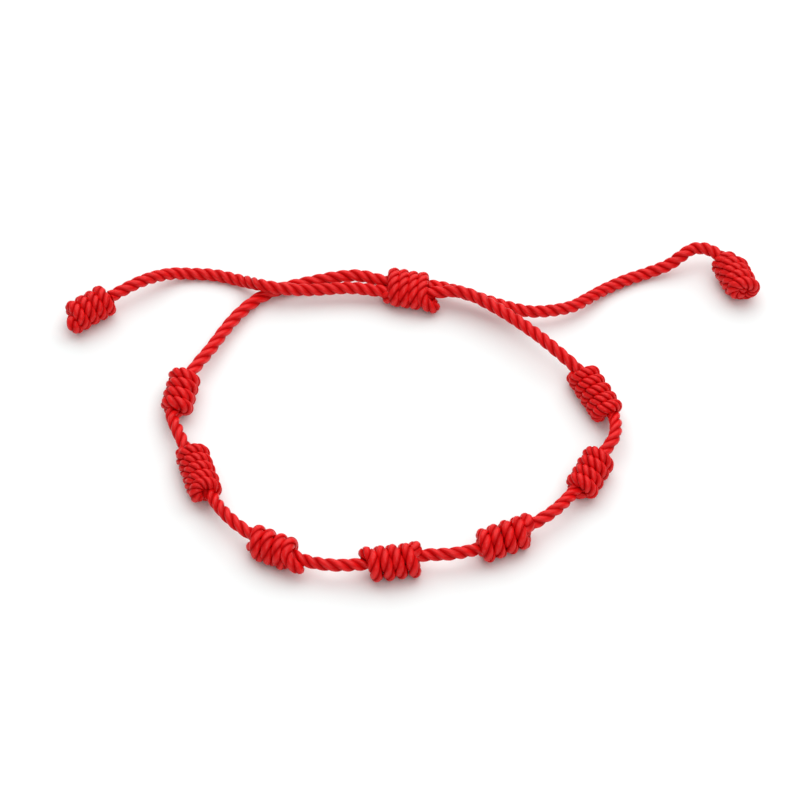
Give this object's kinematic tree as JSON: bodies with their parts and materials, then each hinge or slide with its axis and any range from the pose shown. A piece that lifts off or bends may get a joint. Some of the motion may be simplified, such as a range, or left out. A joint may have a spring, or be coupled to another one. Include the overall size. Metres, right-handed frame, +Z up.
{
  "type": "knotted cord bracelet",
  "caption": "Adjustable bracelet of twisted cord, with tied knots along its front, a sliding knot at the back and two free tails that end in knots.",
  "frame": {"origin": "on the surface that the bracelet lies on, under the middle of its loop", "axes": "+Z up from the surface, +Y from the middle knot of the front to the sliding knot at the back, +X to the right as seen from the front"},
  "size_m": [0.0972, 0.0633, 0.0052],
  "materials": {
    "cord": "satin red twisted nylon cord"
  },
  "bodies": {
    "root": {"loop_cord": "cord", "knot_1": "cord", "knot_2": "cord", "knot_3": "cord", "knot_4": "cord", "knot_5": "cord", "knot_6": "cord", "knot_7": "cord", "sliding_knot": "cord", "tail_left": "cord", "end_knot_left": "cord", "tail_right": "cord", "end_knot_right": "cord"}
  },
  "joints": []
}
